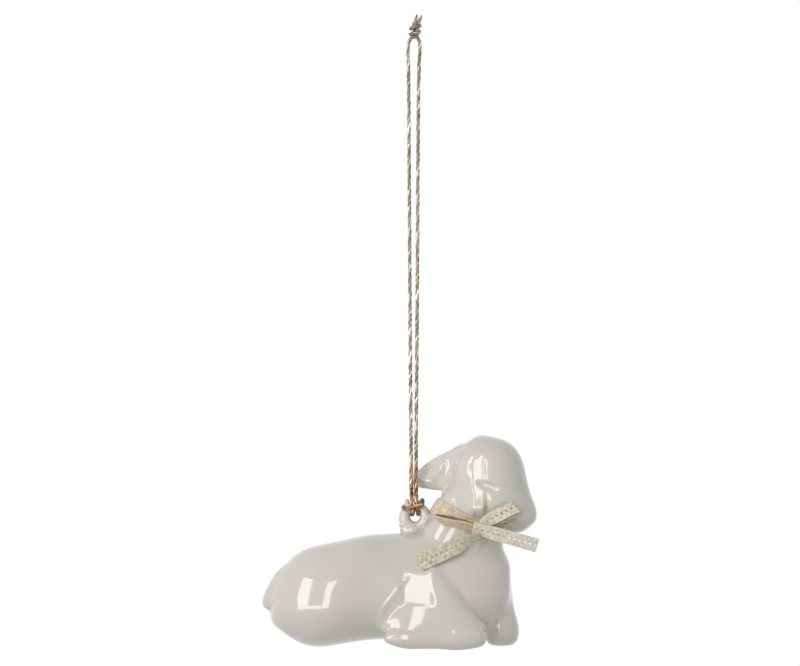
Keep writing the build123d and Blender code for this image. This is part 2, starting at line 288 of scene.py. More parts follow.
def makeRibbon(name):
    material, tree, shader = startMaterial(name)
    dark, plain, pale = ribbonLook[name]
    place = tree.nodes.new("ShaderNodeTexCoord").outputs["Object"]
    across = tree.nodes.new("ShaderNodeUVMap")
    across.uv_map = "ribbonMap"
    split = tree.nodes.new("ShaderNodeSeparateXYZ")
    tree.links.new(across.outputs["UV"], split.inputs[0])
    turns = 2 * math.pi / ribbonLook["thread"]
    warp = addMath(tree, "SINE", addMath(tree, "MULTIPLY", split.outputs["X"], turns))
    weft = addMath(tree, "SINE", addMath(tree, "MULTIPLY", split.outputs["Y"], turns))
    weave = addMath(tree, "MULTIPLY", warp, weft)
    fineness, depth = ribbonLook["slub"]
    slub = addNoise(tree, place, fineness, 3.0, 0.65)
    mixed = addMath(tree, "MULTIPLY_ADD", weave, 0.16)
    tree.links.new(slub, mixed.node.inputs[2])
    tint = addRamp(tree, mixed, [(0.26, dark), (0.50, plain), (0.72, pale)])
    tree.links.new(tint, shader.inputs["Base Color"])
    shader.inputs["Roughness"].default_value = 0.82
    shader.inputs["Specular IOR Level"].default_value = 0.25
    shader.inputs["Sheen Weight"].default_value = 0.25
    addBump(tree, shader, mixed, depth)
    return material


enamel = makeEnamel()
yarns = [makeYarn(tone) for tone in ("pewter", "bronze", "champagne")]
looks = {name: makeRibbon(name) for name in ("ribbonCloth", "ribbonWarm", "ribbonPaintedBacklight")}
print("materials:", len(bpy.data.materials))


# hanging cord: a loop from the hitch up over the top and down again

cordMake = {
    "diameter": 0.95,
    "hitchDiameter": 1.14,    # it opens up a little in the hitch
    "opening": 9.0,           # over this length above the hitch
    "plyShare": 0.52,         # a ply's radius, as a share of the cord's
    "thinning": 0.45,         # how much thinner a cut end gets
    "plies": 3,
    "pitch": 5.2,
    "sides": 7,
    "step": 0.30,
    "wander": 0.07,           # unevenness of the twist
}

loopRoute = [
    (-0.92, 0.0, -112.3), (-0.95, 0.0, -106.5), (-1.30, 0.10, -60.0), (-1.56, 0.05, -7.0),
    (-1.85, 0.0, -1.4), (-1.10, 0.0, 0.72), (0.88, 0.0, 0.72), (1.36, 0.0, -1.4),
    (0.86, -0.05, -7.0), (0.60, -0.10, -60.0), (0.26, 0.0, -106.5), (0.24, 0.0, -112.3),
]


def readRoute(name, points):  # points of the smooth line through a route, in millimetres
    curve = bpy.data.curves.new(name, "CURVE")
    curve.dimensions = "3D"
    curve.resolution_u = 32
    spline = curve.splines.new("NURBS")
    spline.points.add(len(points) - 1)
    for point, place in zip(spline.points, points):
        point.co = (*place, 1.0)
    spline.order_u = 3
    spline.use_endpoint_u = True
    holder = bpy.data.objects.new(name, curve)
    scene.collection.objects.link(holder)
    line = bpy.data.meshes.new_from_object(holder)
    places = meshPoints(line)
    bpy.data.objects.remove(holder)
    bpy.data.curves.remove(curve)
    bpy.data.meshes.remove(line)
    return places


def lineFrames(line):  # directions along the line, and two square to it that never spin
    along = unit(np.gradient(line, axis=0))
    first = np.cross(along[0], (0.0, 1.0, 0.0))
    if np.linalg.norm(first) < 0.1:
        first = np.cross(along[0], (1.0, 0.0, 0.0))
    sides = [unit(first)]
    for way in along[1:]:
        side = sides[-1] - way * np.dot(way, sides[-1])
        sides.append(unit(side))
    sides = np.array(sides)
    return along, sides, np.cross(along, sides)


# twisted plies round a line, with the cord's size at both ends and between
def twistCord(line, size, taper=0.0, start=0.0):
    points, faces, plyOf = [], [], []
    along, side, other = lineFrames(line)
    run = runOf(line)
    plies, sides = cordMake["plies"], cordMake["sides"]
    ends, between = size
    fromEnd = np.minimum(run, run[-1] - run)
    radius = between / 2 + (ends - between) / 2 * (1 - soften(fromEnd, 0.0, cordMake["opening"]))
    if taper:
        radius = radius * (1 - cordMake["thinning"] * soften(run, run[-1] - taper, run[-1]))
    plyRadius = radius * cordMake["plyShare"]
    wave = 1 + cordMake["wander"] * (np.sin(run * 1.7) + np.sin(run * 0.61 + 1.3))
    for ply in range(plies):
        angle = start + 2 * math.pi * (run / cordMake["pitch"] + ply / plies)
        angle = angle + 0.8 * np.sin(run * 0.43 + start)    # the twist isn't even
        out = np.cos(angle)[:, None] * side + np.sin(angle)[:, None] * other
        middle = line + out * ((radius - plyRadius) * wave)[:, None]
        way, a, b = lineFrames(middle)
        first = len(points)
        for k in range(len(line)):
            for turn in range(sides):
                t = 2 * math.pi * turn / sides
                points.append(middle[k] + (a[k] * math.cos(t) + b[k] * math.sin(t)) * plyRadius[k])
        for k in range(len(line) - 1):
            here, there = first + k * sides, first + (k + 1) * sides
            for turn in range(sides):
                after = (turn + 1) % sides
                faces.append((here + turn, here + after, there + after, there + turn))
                plyOf.append(ply)
        faces.append(tuple(range(first + sides - 1, first - 1, -1)))
        faces.append(tuple(range(first + (len(line) - 1) * sides, first + len(line) * sides)))
        plyOf += [ply, ply]
    return points, faces, plyOf


def addCord(name, size, routes):  # one piece of one or more routes: points, taper, phase
    points, faces, plyOf = [], [], []
    for route, taper, start in routes:
        line = evenly(readRoute(name + "Route", route), cordMake["step"])
        p, f, m = twistCord(line, size, taper, start)
        base = len(points)
        points += p
        faces += [tuple(i + base for i in face) for face in f]
        plyOf += m
    return addPiece(name, np.array(points) * mm, faces, yarns, plyOf)


loopLine = evenly(readRoute("loopRoute", loopRoute), 0.5)
thin, thick = cordMake["diameter"], cordMake["hitchDiameter"]
cordLoop = addCord("cordLoop", (thick, thin), [(loopRoute, 0.0, 0.4)])
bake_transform(cordLoop)
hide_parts("cord_top_bight", "cord_left_strand", "cord_right_strand")

# overhand knot over the loop, with its two cut ends
knotRoutes = [
    ([(-0.45, 0.1, 0.6), (-0.45, 0.35, 2.0), (-0.1, 0.25, 3.6), (0.15, 0.0, 4.7),
      (0.48, 0.0, 6.3)], 1.4, 0.0),
    ([(0.5, 0.0, 0.6), (0.45, -0.2, 2.0), (0.8, -0.1, 3.4), (1.05, 0.0, 4.6),
      (1.65, 0.0, 6.15)], 1.4, 1.1),
    ([(0.3, 0.7, 1.2), (-0.9, 0.75, 1.35), (-1.3, -0.3, 1.5), (-0.4, -1.25, 1.6), (0.9, -1.05, 1.7),
      (1.4, 0.0, 2.1), (0.6, 1.15, 2.5), (-0.7, 1.0, 2.7), (-1.3, 0.0, 2.9), (-0.6, -1.15, 3.2),
      (0.6, -1.2, 3.4), (1.35, -0.4, 3.5), (1.1, 0.6, 3.7), (0.2, 0.9, 3.9), (-0.5, 0.4, 4.1)], 0.0, 2.0),
]
cordKnot = addCord("cordKnot", (thin, thin), knotRoutes)
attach(cordKnot, "hanger")
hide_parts("cord_top_knot", "cord_left_end", "cord_right_end")

# girth hitch on the bar of the eye: down in front, under the bar, up behind, over, and across in front
barZ = -116.5
hitchRoute = [
    (0.24, 0.0, 4.2), (0.24, -0.5, 3.1), (0.34, -1.5, 1.9), (0.56, -1.95, 0.2), (0.66, -1.75, -1.5),
    (0.75, 0.0, -2.3), (0.95, 1.75, -1.5), (1.25, 2.1, 0.3), (1.6, 1.5, 1.45), (1.95, -0.3, 1.5),
    (1.95, -2.1, 0.5), (1.1, -3.05, 0.1), (-0.1, -3.15, -0.15), (-1.4, -3.05, -0.45), (-2.5, -2.3, -0.75),
    (-3.05, -0.3, -0.4), (-2.4, 1.6, 0.1), (-1.35, 2.15, 0.2), (-0.95, 1.75, -1.5), (-0.7, 0.0, -2.3),
    (-0.46, -1.75, -1.5), (-0.50, -1.95, 0.2), (-0.76, -1.5, 1.9), (-0.92, -0.5, 3.1), (-0.92, 0.0, 4.2),
]
hitchAtBar = [(x, y, z + barZ) for x, y, z in hitchRoute]
cordHitch = addCord("cordHitch", (thick, thick), [(hitchAtBar, 0.0, 0.9)])
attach(cordHitch, "hitch")
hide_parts("cord_hitch")


# enamel skin: the two half shells and the ears as one dipped surface

skinMake = {
    "voxel": 0.36,
    "rootSink": 0.6,          # the ears go this far into the head
    # balls that fill the hole for the eye, the wall round its ring, and the dip behind the ear's root
    "plugs": [(0.0, 0.0, 28.9, 1.5), (2.5, 0.0, 31.0, 1.0), (3.0, 0.0, 31.9, 1.0), (2.2, 0.0, 30.1, 1.0),
              (10.6, -1.5, 49.2, 1.6), (12.0, -1.0, 49.6, 2.05)],
    "rounds": 26,             # how far the dip has rounded the creases
    "wristRounds": 90,        # and the crease between the foreleg and the folded forearm
    "wrist": [(-9.0, 6.6), (-2.0, 6.2), (4.0, 6.0), (9.0, 5.6)],
    "rumpRounds": 70,         # and the one above the tail
    "rump": [(-30.0, 25.0), (-33.5, 19.5), (-36.0, 15.0)],
    "throatRounds": 140,      # and those between neck and chest, and under the jaw
    "throat": [(10.0, 27.0), (16.0, 26.6), (21.5, 25.8)],
    "jaw": [(9.0, 37.2), (12.0, 35.8), (15.0, 33.6)],
    "wave": 0.10,             # uneven thickness of the dip
    "waveSize": 7.0,
}

headTurn = {"x": 16.1, "yaw": 20.0}      # the face turns about this upright line
lambEye = {"x": 18.1, "height": 40.8, "long": 2.4, "tall": 1.0, "slope": -20.0, "deep": 0.85, "lid": 0.10}
cheek = {"x": 19.4, "height": 35.4, "long": 4.2, "tall": 4.6, "proud": 0.5}

# flatter places of the near side: half width and height, how soft their edges are, degrees they face
# left and up, how round they are upwards, how proud, and where and how tightly one bends away
facets = {
    "temple": {"x": 15.5, "height": 40.9, "half": (1.9, 6.9), "soft": (1.0, 2.8), "left": 9.0, "up": 5.0,
               "round": 40.0, "proud": 0.08, "curl": (0.8, 2.2)},
    "jaw": {"x": 11.9, "height": 36.0, "half": (2.4, 3.2), "soft": (1.4, 2.0), "left": 36.0, "up": 2.0,
            "round": 25.0, "proud": 0.0},
    "paw": {"x": 21.0, "height": 5.2, "half": (0.6, 1.9), "soft": (0.8, 1.4), "left": 12.0, "up": 4.0,
            "round": 12.0, "proud": 0.3},
    "earFold": {"x": 6.9, "height": 45.3, "half": (0.6, 1.4), "soft": (0.6, 1.0), "left": 25.0, "up": 7.0,
                "round": 12.0, "proud": 0.25},
    "earTip": {"x": 3.0, "height": 42.1, "half": (1.8, 0.45), "soft": (1.2, 0.6), "left": 25.0, "up": 7.0,
               "round": 6.0, "proud": 0.20},
    "foreleg": {"x": 0.6, "height": 15.4, "half": (4.0, 4.0), "soft": (1.8, 2.0), "left": 11.0, "up": 5.0,
                "round": 50.0, "proud": 0.0},
}

# lines in the enamel as x and height: how proud, how wide; those of the head are on both its sides
bodyLines = {
    "forelegRim": {"proud": 0.20, "wide": 0.55,
                   "line": [(-2.2, 17.9), (-3.5, 16.0), (-8.1, 10.2), (-8.5, 7.4)]},
    "chestCrease": {"proud": -0.30, "wide": 1.0,
                    "line": [(11.3, 15.0), (14.0, 11.0), (17.3, 7.4), (17.6, 3.0)]},
    "forearmCrease": {"proud": -0.15, "wide": 0.6,
                      "line": [(-5.6, 5.5), (-0.3, 4.9), (4.0, 5.2), (9.0, 4.8)]},
    "tailCrease": {"proud": -0.30, "wide": 0.6, "line": [(-33.8, 13.6), (-35.0, 11.6), (-36.2, 9.6)]},
}
headLines = {
    "earLip": {"proud": 0.75, "wide": 1.1, "line": [(1.4, 42.2), (3.8, 42.0), (5.6, 43.4), (7.0, 46.2)]},
    "earHollow": {"proud": -0.50, "wide": 1.3, "line": [(2.2, 44.6), (4.0, 45.0), (5.2, 46.6)]},
    "earRoot": {"proud": -0.32, "wide": 0.55, "line": [(10.2, 45.0), (9.2, 42.8), (7.9, 40.6)]},
}


def neighbours(faces, count):
    pairs = np.concatenate([faces[:, [a, (a + 1) % faces.shape[1]]] for a in range(faces.shape[1])])
    pairs = np.unique(np.sort(pairs, axis=1), axis=0)
    degree = np.bincount(pairs.ravel(), minlength=count).astype(float)
    return pairs, degree


def toMiddle(points, pairs, degree):  # from each point to the middle of its neighbours
    a, b = pairs[:, 0], pairs[:, 1]
    count = len(points)
    total = np.stack([np.bincount(a, points[b, k], count) + np.bincount(b, points[a, k], count)
                      for k in range(3)], axis=1)
    return total / degree[:, None] - points


def relax(points, pairs, degree, rounds, amount):  # smoothing that keeps the volume
    for pull in (0.55, -0.57) * rounds:
        points = points + toMiddle(points, pairs, degree) * (pull * amount)[:, None]
    return points


def smoothAll(points, pairs, degree, rounds, amount):  # plain smoothing, which fills creases
    for k in range(rounds):
        points = points + toMiddle(points, pairs, degree) * (0.5 * amount)[:, None]
    return points


def normalsOf(points, faces):
    a, b, c, d = (points[faces[:, k]] for k in range(4))
    flat = np.cross(c - a, d - b)
    total = np.zeros_like(points)
    for k in range(4):
        for axis in range(3):
            total[:, axis] += np.bincount(faces[:, k], flat[:, axis], len(points))
    return unit(total)


def dipTogether(name, points, faces, voxel):  # one outer surface round overlapping solids
    lump = addPiece(name, points, faces)
    remesh = lump.modifiers.new("dip", "REMESH")
    remesh.mode = "VOXEL"
    remesh.voxel_size = voxel
    applyModifiers(lump)
    mesh = lump.data
    places = meshPoints(mesh)
    quads = np.empty(len(mesh.polygons) * 4, dtype=int)
    mesh.polygons.foreach_get("vertices", quads)
    quads = quads.reshape(-1, 4)
    bpy.data.objects.remove(lump)
    bpy.data.meshes.remove(mesh)
    pairs, degree = neighbours(quads, len(places))
    links = [[] for k in range(len(places))]
    for a, b in pairs.tolist():
        links[a].append(b)
        links[b].append(a)
    seen = np.zeros(len(places), dtype=bool)
    front = [int(np.argmax(places[:, 0]))]
    seen[front[0]] = True
    while front:
        here = front.pop()
        for near in links[here]:
            if not seen[near]:
                seen[near] = True
                front.append(near)
    order = np.cumsum(seen) - 1
    quads = order[quads[seen[quads[:, 0]]]]
    print(name, "kept", int(seen.sum()), "of", len(seen), "points")
    return places[seen], quads


def ballSurface(middle, radius):
    points, faces = [], []
    rows, cols = 12, 18
    for i in range(rows + 1):
        up = math.pi * i / rows
        for j in range(cols):
            turn = 2 * math.pi * j / cols
            points.append((middle[0] + radius[0] * math.sin(up) * math.cos(turn),
                           middle[1] + radius[1] * math.sin(up) * math.sin(turn),
                           middle[2] + radius[2] * math.cos(up)))
    for i in range(rows):
        for j in range(cols):
            after = (j + 1) % cols
            faces.append((i * cols + j, i * cols + after, (i + 1) * cols + after, (i + 1) * cols + j))
    return np.array(points), np.array(faces)


def joinNodes():  # the shells without their seam, the ears sunk into the head, and the plugs
    shellPoints, shellFaces, base = [], [], 0
    for name in ("near_half_shell", "far_half_shell"):
        p, f = nodeSurface(name)
        seam = np.all(np.abs(p[f][:, :, 1]) < 0.003, axis=1)
        shellPoints.append(p)
        shellFaces.append(f[~seam] + base)
        base += len(p)
    shellPoints, shellFaces = np.concatenate(shellPoints), np.concatenate(shellFaces)
    finder = BVHTree.FromPolygons([Vector(p) for p in shellPoints], shellFaces.tolist())
    points, faces = [shellPoints], [shellFaces]
    for name in ("near_ear", "far_ear"):
        p, f = nodeSurface(name)
        heart = p.mean(axis=0)
        for k in range(len(p)):
            place, normal, face, gap = finder.find_nearest(Vector(p[k]))
            if gap < 0.04:
                inward = -np.array(normal) * np.sign(np.dot(np.array(normal), heart - p[k]))
                p[k] = p[k] + inward * skinMake["rootSink"]
        points.append(p)
        faces.append(f + base)
        base += len(p)
    for x, y, height, radius in skinMake["plugs"]:
        p, f = ballSurface((x, y, height + groundZ), (radius, radius, radius))
        points.append(p)
        faces.append(np.concatenate([f[:, [0, 1, 2]], f[:, [0, 2, 3]]]) + base)
        base += len(p)
    return np.concatenate(points), np.concatenate(faces)


def headPlace(points):  # from the part's frame to the head's own, which looks straight ahead
    turn = math.radians(headTurn["yaw"])
    x, y = points[:, 0] - headTurn["x"], points[:, 1]
    return np.stack([x * math.cos(turn) - y * math.sin(turn),
                     x * math.sin(turn) + y * math.cos(turn), points[:, 2] - groundZ], axis=1)


def lineGap(a, b, line):  # distance of each point from a line of a few runs
    best = np.full(len(a), 1e9)
    for (x0, z0), (x1, z1) in zip(line, line[1:]):
        dx, dz = x1 - x0, z1 - z0
        t = np.clip(((a - x0) * dx + (b - z0) * dz) / (dx * dx + dz * dz), 0, 1)
        best = np.minimum(best, np.hypot(a - x0 - t * dx, b - z0 - t * dz))
    return best


def nearLine(points, line, wide):  # 1 on a line of the side view, fading away from it
    return bump(lineGap(points[:, 0], points[:, 2] - groundZ, line), 0, wide)


def nearHit(x, z):  # where a line from the viewer meets the skin, or None
    return skinTree.ray_cast(Vector((x, -60.0, z)), Vector((0, 1, 0)))[0]


def nearPlace(x, height):  # a place on the skin's near side, in the head's own frame
    return headPlace(np.array([nearHit(x, height + groundZ)]))[0]


def flatten(points, normals):
    points = points.copy()
    for facet in facets.values():
        dx, dz = points[:, 0] - facet["x"], points[:, 2] - groundZ - facet["height"]
        y = nearHit(facet["x"], facet["height"] + groundZ)[1] - facet["proud"]
        goal = y - math.tan(math.radians(facet["left"])) * dx + math.tan(math.radians(facet["up"])) * dz
        bend, tight = facet.get("curl", (99.0, 1.0))
        goal = goal + dz ** 2 / (2 * facet["round"]) + np.minimum(dx + bend, 0) ** 2 / (2 * tight)
        share = soften(y + 4.0 - points[:, 1], 0.0, 1.0) * soften(-normals[:, 1], 0.1, 0.4)
        for off, half, soft in zip((dx, dz), facet["half"], facet["soft"]):
            share = share * (1 - soften(np.abs(off), half - soft / 2, half + soft / 2))
        points[:, 1] += share * (goal - points[:, 1])
    return points


def sculptHead(points, normals):
    local = headPlace(points)
    ahead = headPlace(normals + (headTurn["x"], 0, groundZ))
    spot = nearPlace(lambEye["x"], lambEye["height"])
    slope = math.radians(lambEye["slope"])
    dx, dz = local[:, 0] - spot[0], local[:, 2] - spot[2]
    along = dx * math.cos(slope) + dz * math.sin(slope)
    up = -dx * math.sin(slope) + dz * math.cos(slope)
    ring = np.hypot(along / lambEye["long"], up / lambEye["tall"])
    lift = lambEye["lid"] * bump(ring, 1.35, 0.3) - lambEye["deep"] * np.exp(-ring ** 2.6)
    spot = nearPlace(cheek["x"], cheek["height"])
    full = np.hypot((local[:, 0] - spot[0]) / cheek["long"], (local[:, 2] - spot[2]) / cheek["tall"])
    lift = lift + cheek["proud"] * np.exp(-full ** 2)
    for line in headLines.values():
        path = [nearPlace(x, height)[[0, 2]] for x, height in line["line"]]
        lift = lift + line["proud"] * bump(lineGap(local[:, 0], local[:, 2], path), 0, line["wide"])
    sideways = np.maximum(soften(-ahead[:, 1], 0.15, 0.5), soften(ahead[:, 1], 0.15, 0.5))
    return lift * sideways * soften(points[:, 2], groundZ + 30.5, groundZ + 34.0)


def sculptBody(points, normals):
    lift = np.zeros(len(points))
    for line in bodyLines.values():
        lift += line["proud"] * nearLine(points, line["line"], line["wide"])
    return lift * soften(-normals[:, 1], 0.05, 0.3)


skinPoints, skinFaces = dipTogether("skinLump", *joinNodes(), skinMake["voxel"])
pairs, degree = neighbours(skinFaces, len(skinPoints))
whole = np.ones(len(skinPoints))
x, height = skinPoints[:, 0], skinPoints[:, 2] - groundZ
held = whole - 0.6 * bump(x, 6.5, 4.5) * soften(height, 35.2, 39.2)     # ears
held = held - 0.75 * bump(x, -38.0, 3.5) * bump(height, 11.0, 4.0)      # tail
held = held - 0.9 * bump(x, 31.0, 4.0) * bump(height, 36.5, 5.5)        # muzzle
skinPoints = smoothAll(skinPoints, pairs, degree, skinMake["rounds"], held)
wrist = nearLine(skinPoints, skinMake["wrist"], 2.4) * soften(-skinPoints[:, 1], 8.0, 10.0)
skinPoints = smoothAll(skinPoints, pairs, degree, skinMake["wristRounds"], wrist)
rump = nearLine(skinPoints, skinMake["rump"], 2.6)
skinPoints = smoothAll(skinPoints, pairs, degree, skinMake["rumpRounds"], rump)
throat = nearLine(skinPoints, skinMake["throat"], 2.8)
jaw = nearLine(skinPoints, skinMake["jaw"], 2.4) * soften(-skinPoints[:, 1], 3.0, 5.0)
skinPoints = smoothAll(skinPoints, pairs, degree, skinMake["throatRounds"], np.maximum(throat, jaw))
skinPoints = relax(skinPoints, pairs, degree, 10, whole)
print("skin smoothed")

skinTree = BVHTree.FromPolygons([Vector(p) for p in skinPoints], skinFaces.tolist())
skinNormals = normalsOf(skinPoints, skinFaces)
if skinNormals[np.argmax(skinPoints[:, 0]), 0] < 0:
    skinNormals = -skinNormals
    skinFaces = skinFaces[:, ::-1]
skinPoints = flatten(skinPoints, skinNormals)
skinNormals = normalsOf(skinPoints, skinFaces)
lift = sculptHead(skinPoints, skinNormals) + sculptBody(skinPoints, skinNormals)
waveScale = 1 / skinMake["waveSize"]
wave = np.array([noise.noise(Vector(p * waveScale)) for p in skinPoints])
lift = lift + skinMake["wave"] * wave
skinPoints = skinPoints + skinNormals * lift[:, None]
skinPoints = relax(skinPoints, pairs, degree, 3, whole)
skinTree = BVHTree.FromPolygons([Vector(p) for p in skinPoints], skinFaces.tolist())
lambSkin = addPiece("lambSkin", skinPoints * mm, skinFaces.tolist(), [enamel])
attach(lambSkin, "lamb")
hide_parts("near_half_shell", "far_half_shell", "near_ear", "far_ear")
print("skin", len(skinPoints), "points")


# wire eye on the withers, thick and lumpy with enamel

eyeMake = {
    "height": 33.1, "ring": 2.5, "wire": 1.28,
    # place round the ring in degrees, spread and size
    "lumps": [(90.0, 32.0, -0.26), (200.0, 34.0, 0.22), (2.0, 30.0, 0.16), (-45.0, 26.0, 0.16)],
    # middle and size
    "drops": [((-0.2, 0.0, 29.6), (3.7, 1.9, 1.75)), ((-3.1, -0.3, 31.0), (0.95, 1.0, 0.8)),
              ((3.3, -0.1, 32.3), (1.8, 1.6, 1.9)), ((-2.0, 0.0, 36.6), (0.7, 0.75, 0.95))],
    "voxel": 0.16, "rounds": 7,
}


def ringSurface():
    points, faces = [], []
    around, section = 72, 24
    for k in range(around):
        degrees = 360.0 * k / around
        swell = 0.0
        for place, spread, size in eyeMake["lumps"]:
            off = (degrees - place + 180) % 360 - 180
            swell += size * math.exp(-(off / spread) ** 2)
        turn = math.radians(degrees)
        out = eyeMake["ring"] + 0.75 * swell
        for j in range(section):
            t = 2 * math.pi * j / section
            reach = out + (eyeMake["wire"] + swell) * math.cos(t)
            aside = (eyeMake["wire"] + 0.8 * swell) * math.sin(t)
            points.append((reach * math.cos(turn), aside, reach * math.sin(turn)))
    for k in range(around):
        for j in range(section):
            here, there, after = k * section, ((k + 1) % around) * section, (j + 1) % section
            faces.append((here + j, here + after, there + after, there + j))
    points = np.array(points)
    points[:, 2] += eyeMake["height"] + groundZ
    return points, np.array(faces)


def joinEye():
    points, faces = ringSurface()
    points, faces = [points], [faces]
    base = len(points[0])
    for (x, y, height), radius in eyeMake["drops"]:
        p, f = ballSurface((x, y, height + groundZ), radius)
        points.append(p)
        faces.append(f + base)
        base += len(p)
    return np.concatenate(points), np.concatenate(faces)


eyePoints, eyeFaces = dipTogether("eyeLump", *joinEye(), eyeMake["voxel"])
eyePairs, eyeDegree = neighbours(eyeFaces, len(eyePoints))
eyePoints = smoothAll(eyePoints, eyePairs, eyeDegree, eyeMake["rounds"], np.ones(len(eyePoints)))
eyePoints = relax(eyePoints, eyePairs, eyeDegree, 8, np.ones(len(eyePoints)))
coatedEye = addPiece("coatedEye", eyePoints * mm, eyeFaces.tolist(), [enamel])
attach(coatedEye, "lamb")
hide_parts("hanger_eye")
print("coated eye", len(eyePoints), "points")


# ribbon: narrow openwork strips with real holes

ribbonMake = {
    "width": 4.2, "cells": 27, "step": 0.156, "thick": 0.28,
    "pitch": 1.36, "hole": (0.25, 0.24), "sideHole": (0.12, 0.12), "sideRow": 1.15,
    "thread": 0.045,
}


# a strip of ribbon along a line, with its width at each point and how large its holes are
def addStrip(name, look, middle, across, width, holes=1.0, seed=0.0):
    cells = ribbonMake["cells"]
    count = len(middle)
    way = unit(np.gradient(middle, axis=0))
    face = unit(np.cross(way, across))
    run = runOf(middle)
    points, uvs = [], []
    for i in range(count):
        for j in range(cells + 1):
            t = j / cells - 0.5
            fray = 0.0
            if i in (0, count - 1):
                fray = 0.22 * math.sin(j * 2.3 + seed) + 0.16 * math.sin(j * 5.1)
            relief = ribbonMake["thread"] * (1 if (i + j) % 2 else -1)
            points.append(middle[i] + across[i] * (t * width[i]) + face[i] * relief + way[i] * fray)
            uvs.append((run[i], t * ribbonMake["width"]))
    faces = []
    half = ribbonMake["pitch"] / 2
    long, wide = (holes * v for v in ribbonMake["hole"])
    sideLong, sideWide = (holes * v for v in ribbonMake["sideHole"])
    for i in range(count - 1):
        s = (run[i] + run[i + 1]) / 2 + seed
        phase = abs(s % ribbonMake["pitch"] - half)
        sidePhase = abs((s + half) % ribbonMake["pitch"] - half)
        for j in range(cells):
            t = ((j + 0.5) / cells - 0.5) * ribbonMake["width"]
            if 2 < i < count - 4:
                if abs(t) < wide and phase < long:
                    continue
                if abs(abs(t) - ribbonMake["sideRow"]) < sideWide and sidePhase < sideLong:
                    continue
            a = i * (cells + 1) + j
            faces.append((a, a + 1, a + cells + 2, a + cells + 1))
    piece = addPiece(name, np.array(points) * mm, faces, [looks[look]])
    layer = piece.data.uv_layers.new(name="ribbonMap")
    for loop in piece.data.loops:
        layer.data[loop.index].uv = uvs[loop.vertex_index]
    solid = piece.modifiers.new("thickness", "SOLIDIFY")
    solid.thickness = ribbonMake["thick"] * mm
    solid.offset = 0.0
    fine = piece.modifiers.new("round", "SUBSURF")
    fine.levels = 1
    fine.render_levels = 1
    applyModifiers(piece)
    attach(piece, "lamb")
    return piece


def liftOff(line, across, wide, gap):  # bring a strip towards the near side where the skin is in its way
    push = np.zeros(len(line))
    for k in range(len(line)):
        for share in (-0.5, -0.25, 0.0, 0.25, 0.5):
            place = line[k] + across[k] * share * wide[k]
            hit = nearHit(place[0], place[2])
            if hit is not None:
                push[k] = min(push[k], hit[1] - gap - place[1])
    for k in range(30):
        push[1:-1] = np.minimum(push[1:-1], (push[:-2] + push[2:]) / 2)
    lifted = line.copy()
    lifted[:, 1] += push
    return lifted


# neck band: where its middle is and how its axis leans; it sags on the near side under the bow
bandMake = {
    "middle": (14.4, 0.0, 32.9), "lean": 18.0, "sag": 1.8,
    "stand": 0.28, "most": (12.0, 11.2), "turns": 420,
}


def makeBand():
    lean = math.radians(bandMake["lean"])
    axis = np.array((math.sin(lean), 0.0, math.cos(lean)))
    deep = np.array((math.cos(lean), 0.0, -math.sin(lean)))
    near = np.array((0.0, -1.0, 0.0))
    middle = np.array(bandMake["middle"]) + (0, 0, groundZ)
    count = bandMake["turns"]
    half = ribbonMake["width"] / 2 - 0.1
    turn = 2 * np.pi * np.arange(count) / count
    ways = np.cos(turn)[:, None] * near + np.sin(turn)[:, None] * deep
    sag = -bandMake["sag"] * np.maximum(np.cos(turn), 0) ** 2
    side, long = bandMake["most"]
    most = 1 / np.hypot(np.cos(turn) / side, np.sin(turn) / long)
    reach = np.zeros((count, 2))
    for k in range(count):
        for j, shift in enumerate((-half, half)):
            start = middle + axis * (shift + sag[k])
            hit = skinTree.ray_cast(Vector(start), Vector(ways[k]))[0]
            reach[k, j] = min(most[k], np.linalg.norm(np.array(hit) - start))
    smooth = reach.copy()
    for k in range(40):
        smooth = (smooth + (np.roll(smooth, 1, axis=0) + np.roll(smooth, -1, axis=0)) / 2) / 2
        smooth = np.maximum(smooth, reach - 0.05)
    smooth = smooth + bandMake["stand"]
    low = middle + axis * (sag - half)[:, None] + ways * smooth[:, :1]
    high = middle + axis * (sag + half)[:, None] + ways * smooth[:, 1:]
    low, high = np.vstack([low, low[:1]]), np.vstack([high, high[:1]])
    line = (low + high) / 2
    even = evenly(line, ribbonMake["step"])
    old = runOf(line)
    where = np.linspace(0, old[-1], len(even))
    across = np.stack([np.interp(where, old, (high - low)[:, k]) for k in range(3)], axis=1)
    band = addStrip("ribbonBand", "ribbonWarm", even, unit(across), np.linalg.norm(across, axis=1), 0.0)
    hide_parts("ribbon_neck_band")


bow = {"x": 15.7, "y": -9.9, "height": 30.6}
bowPlace = np.array((bow["x"], bow["y"], bow["height"] + groundZ))

# reach, rise in the side view and lean to the near side in degrees, and which way the width lies
loopMake = {
    "ribbonFrontLoop": {"node": "ribbon_front_loop", "look": "ribbonCloth", "reach": 10.9, "rise": 28.0,
                        "lean": 10.0, "deep": 2.2, "width": (0.62, -0.55, -0.56),
                        "tipWidth": (0.62, -0.55, -0.56), "layer": (0.0, -0.93, 0.36), "holes": 0.7},
    "ribbonRearLoop": {"node": "ribbon_rear_loop", "look": "ribbonWarm", "reach": 11.4, "rise": 166.0,
                       "lean": 2.0, "deep": 1.5, "width": (0.10, -0.80, 0.60),
                       "tipWidth": (0.06, -0.97, 0.20), "layer": (0.0, -0.55, -0.83), "holes": 0.0},
}


